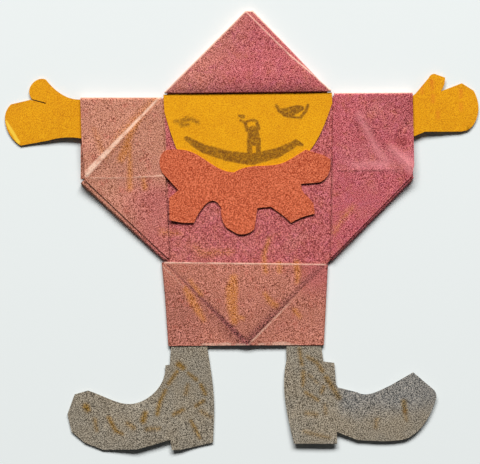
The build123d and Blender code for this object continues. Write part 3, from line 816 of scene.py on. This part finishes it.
class PAPERCLOWN_OT_stage(bpy.types.Operator):
    """Lay a pale table, hang a long soft lamp on the hat's side and put the camera straight above"""
    bl_idname = "paperclown.stage"
    bl_label = "Table, Lamp and Camera"

    def execute(self, context):
        scene, stage, tones = context.scene, context.scene.clown_stage, context.scene.clown_tones
        scene.view_settings.view_transform = "Standard"
        table = bpy.data.meshes.new("table")
        corners = ((-1, -1), (1, -1), (1, 1), (-1, 1))
        table.from_pydata([(x * TABLE_REACH, y * TABLE_REACH, -TABLE_DROP) for x, y in corners],
                          [], [(0, 1, 2, 3)])
        top = bpy.data.objects.new("table", table)
        scene.collection.objects.link(top)
        finish = bpy.data.materials.new("pale_table")
        finish.use_nodes = True
        shader = finish.node_tree.nodes["Principled BSDF"]
        shader.inputs["Base Color"].default_value = (*tones.table, 1.0)
        shader.inputs["Roughness"].default_value = 0.9
        shader.inputs["Specular IOR Level"].default_value = 0.1
        table.materials.append(finish)

        world = bpy.data.worlds.new("studio")
        scene.world = world
        world.use_nodes = True
        sky = world.node_tree.nodes["Background"]
        sky.inputs["Color"].default_value = (1.0, 1.0, 1.0, 1.0)
        sky.inputs["Strength"].default_value = stage.fill

        light = bpy.data.lights.new("long_lamp", "AREA")
        light.shape = "RECTANGLE"
        light.size, light.size_y = LAMP_LONG, LAMP_WIDE
        light.energy = stage.lamp_power
        lamp = bpy.data.objects.new("long_lamp", light)
        lamp.location = (0.0, LAMP_BACK, LAMP_UP)
        lamp.rotation_euler = (-math.atan2(LAMP_BACK, LAMP_UP), 0.0, 0.0)
        lamp.visible_camera = False
        scene.collection.objects.link(lamp)

        view = bpy.data.cameras.new("camera")
        view.lens = stage.lens
        view.sensor_width = 36.0
        view.clip_start, view.clip_end = 0.01, 20.0
        eye = bpy.data.objects.new("camera", view)
        eye.location = (CAMERA_X, CAMERA_Y, stage.camera_height)
        scene.collection.objects.link(eye)
        scene.camera = eye
        return {"FINISHED"}


class PAPERCLOWN_OT_body(bpy.types.Operator):
    """Make the folded sheet: hat, sleeves, chest and skirt"""
    bl_idname = "paperclown.body"
    bl_label = "Folded Sheet"

    def execute(self, context):
        sizes, tones = context.scene.clown_sizes, context.scene.clown_tones
        body = sheet_copy("folded_body", sizes.body_step * MM, BEND_FROM * MM)
        springs = {label: getattr(sizes, label.lower().replace(" ", "_")) for label in SPRINGS}
        spring_tree().apply(body, {**springs, "Paper": rose_sheet(tones)})
        hand_over(body, "folded_body")
        return {"FINISHED"}


class PAPERCLOWN_OT_face(bpy.types.Operator):
    """Make the yellow face, which lies flat, with its felt-tip drawing"""
    bl_idname = "paperclown.face"
    bl_label = "Face"

    def execute(self, context):
        sizes, tones = context.scene.clown_sizes, context.scene.clown_tones
        paper = yellow_paper("yellow_face_paper", tones, MOUTH + NOSE_AND_EYES, tones.felt,
                             edge=0.28, strength=0.92, faint=FAINT_EYE)
        cut_piece("face", sizes.card_step, {"Paper": paper})
        return {"FINISHED"}


class PAPERCLOWN_OT_collar(bpy.types.Operator):
    """Make the orange collar with its lobes lifted a little"""
    bl_idname = "paperclown.collar"
    bl_label = "Collar"

    def execute(self, context):
        sizes, tones = context.scene.clown_sizes, context.scene.clown_tones
        cut_piece("collar", sizes.card_step, {
            "Held at": COLLAR_MIDDLE, "Held reach": 11.0, "Free reach": 24.0, "Curl": sizes.collar_curl,
            "Paper": orange_paper(tones)})
        return {"FINISHED"}


class PAPERCLOWN_OT_hands(bpy.types.Operator):
    """Make the two yellow hands, drooping from their sleeves"""
    bl_idname = "paperclown.hands"
    bl_label = "Hands"

    def execute(self, context):
        sizes, tones = context.scene.clown_sizes, context.scene.clown_tones
        paper = yellow_paper("yellow_hand_paper", tones, HAND_SMUDGES, tones.smudge,
                             edge=0.8, strength=0.72, lit=LIT_HAND_EDGE, dirt=0.4)
        for node, wrist in (("left_hand", LEFT_WRIST), ("right_hand", RIGHT_WRIST)):
            cut_piece(node, sizes.card_step, {
                "Held at": wrist, "Held reach": 7.0, "Free reach": 27.0, "Curl": -sizes.hand_droop,
                "Waves": 0.25, "Paper": paper})
        return {"FINISHED"}


class PAPERCLOWN_OT_boots(bpy.types.Operator):
    """Make the two grey boots with their pencil lines"""
    bl_idname = "paperclown.boots"
    bl_label = "Boots"

    def execute(self, context):
        sizes, tones = context.scene.clown_sizes, context.scene.clown_tones
        papers = {
            "left_boot": grey_paper("grey_left_boot_paper", tones, LEFT_BOOT_LINES, LEFT_BOOT_FAINT,
                                    press=1.0, bluish=False),
            "right_boot": grey_paper("grey_right_boot_paper", tones, RIGHT_BOOT_LINES, RIGHT_BOOT_FAINT,
                                     press=0.8, bluish=True),
        }
        for node, leg, curl, lifted, lift in (
                ("left_boot", LEFT_LEG, -sizes.boot_droop, LEFT_INSTEP, sizes.instep_lift),
                ("right_boot", RIGHT_LEG, sizes.boot_rise, RIGHT_HEEL, sizes.heel_lift)):
            cut_piece(node, sizes.card_step, {
                "Held at": leg, "Held reach": 8.0, "Free reach": 40.0, "Curl": curl, "Waves": 0.1,
                "Lifted at": lifted, "Lift": lift, "Paper": papers[node]})
        return {"FINISHED"}


class PAPERCLOWN_PT_sidebar(bpy.types.Panel):
    """Everything that makes the figure, in order"""
    bl_idname = "PAPERCLOWN_PT_sidebar"
    bl_label = "Paper Clown"
    bl_space_type = "VIEW_3D"
    bl_region_type = "UI"
    bl_category = "Paper Clown"

    def draw(self, context):
        for operator in OPERATORS:
            self.layout.operator(operator.bl_idname)
        for group in (context.scene.clown_sizes, context.scene.clown_tones, context.scene.clown_stage):
            column = self.layout.column(align=True)
            for name in group.__annotations__:
                column.prop(group, name)


OPERATORS = (PAPERCLOWN_OT_stage, PAPERCLOWN_OT_body, PAPERCLOWN_OT_face, PAPERCLOWN_OT_collar,
             PAPERCLOWN_OT_hands, PAPERCLOWN_OT_boots)
CLASSES = (PaperSizes, PaperTones, StageSizes, *OPERATORS, PAPERCLOWN_PT_sidebar)


def register():
    for cls in CLASSES:
        bpy.utils.register_class(cls)
    bpy.types.Scene.clown_sizes = PointerProperty(type=PaperSizes)
    bpy.types.Scene.clown_tones = PointerProperty(type=PaperTones)
    bpy.types.Scene.clown_stage = PointerProperty(type=StageSizes)


def unregister():
    del bpy.types.Scene.clown_stage, bpy.types.Scene.clown_tones, bpy.types.Scene.clown_sizes
    for cls in reversed(CLASSES):
        bpy.utils.unregister_class(cls)


def main():
    register()
    bpy.ops.paperclown.stage()
    bpy.ops.paperclown.body()
    bpy.ops.paperclown.face()
    bpy.ops.paperclown.collar()
    bpy.ops.paperclown.hands()
    bpy.ops.paperclown.boots()


if __name__ == "__main__":
    main()
